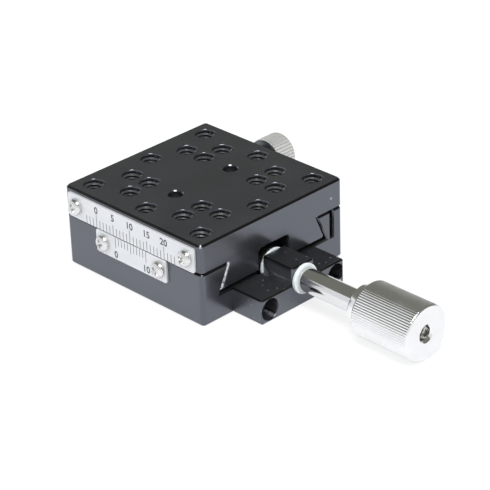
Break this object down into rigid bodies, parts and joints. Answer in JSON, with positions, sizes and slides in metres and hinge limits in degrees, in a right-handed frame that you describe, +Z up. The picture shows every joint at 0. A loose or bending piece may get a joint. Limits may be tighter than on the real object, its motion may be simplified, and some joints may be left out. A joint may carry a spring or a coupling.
{
  "type": "precision slide table",
  "caption": "Small manual dovetail slide table with a screw feed, knurled knob, vernier scale, tapped top and a side clamp that locks the slide.",
  "frame": {"origin": "centre of the base's bottom face, at mid travel", "axes": "+X along the travel towards the feed knob, +Y across it towards the clamp knob, +Z up"},
  "size_m": [0.0802, 0.0563, 0.018],
  "materials": {
    "black_anodised": "satin black anodised, fine machining grain, bright worn edges",
    "satin_plate": "satin clear anodised with dark printed graduations",
    "nickel_screws": "nickel plated steel, light wear at the recess",
    "black_screws": "black oxide steel, slightly oiled",
    "nylon": "white nylon, faintly translucent, dull",
    "bronze": "machined bronze with fine turning marks",
    "screw_steel": "turned steel, lightly oiled",
    "bright_nickel": "bright nickel plate over fine turning and a straight knurl"
  },
  "bodies": {
    "base": {"base_block": "black_anodised", "end_bracket": "black_anodised", "bracket_screws": "black_screws", "rear_thrust_washer": "nylon", "front_thrust_washer": "nylon", "jaw_set_screws": "black_screws", "vernier_plate": "satin_plate", "vernier_screws": "nickel_screws"},
    "table": {"table_plate": "black_anodised", "table_dovetail": "black_anodised", "scale_plate": "satin_plate", "scale_screws": "nickel_screws", "feed_nut": "bronze", "nut_screws": "black_screws"},
    "feed_screw": {"feed_screw": "screw_steel", "spacer_sleeve": "bright_nickel", "feed_knob": "bright_nickel", "knob_set_screw": "black_screws"},
    "clamp_pad": {"clamp_pad": "bronze"},
    "clamp_screw": {"clamp_stud": "screw_steel", "clamp_knob": "bright_nickel"}
  },
  "joints": [
    {"name": "table_slide", "type": "slide", "parent": "base", "child": "table", "axis": [1, 0, 0], "range_m": [-0.007, 0.007]},
    {"name": "knob_spin", "type": "hinge", "parent": "base", "child": "feed_screw", "pos_m": [0, 0, 0.006], "axis": [1, 0, 0], "range_deg": [-2520, 2520]},
    {"name": "clamp_feed", "type": "slide", "parent": "base", "child": "clamp_pad", "axis": [0, -1, 0], "range_m": [0, 0.00035]},
    {"name": "clamp_spin", "type": "hinge", "parent": "clamp_pad", "child": "clamp_screw", "pos_m": [-0.0115, 0.0179, 0.00855], "axis": [0, -1, 0], "range_deg": [0, 180]}
  ],
  "couplings": [
    {"joint": "knob_spin", "follows": "table_slide", "rad_per_m": -6283.2},
    {"joint": "clamp_spin", "follows": "clamp_feed", "rad_per_m": 8976}
  ]
}
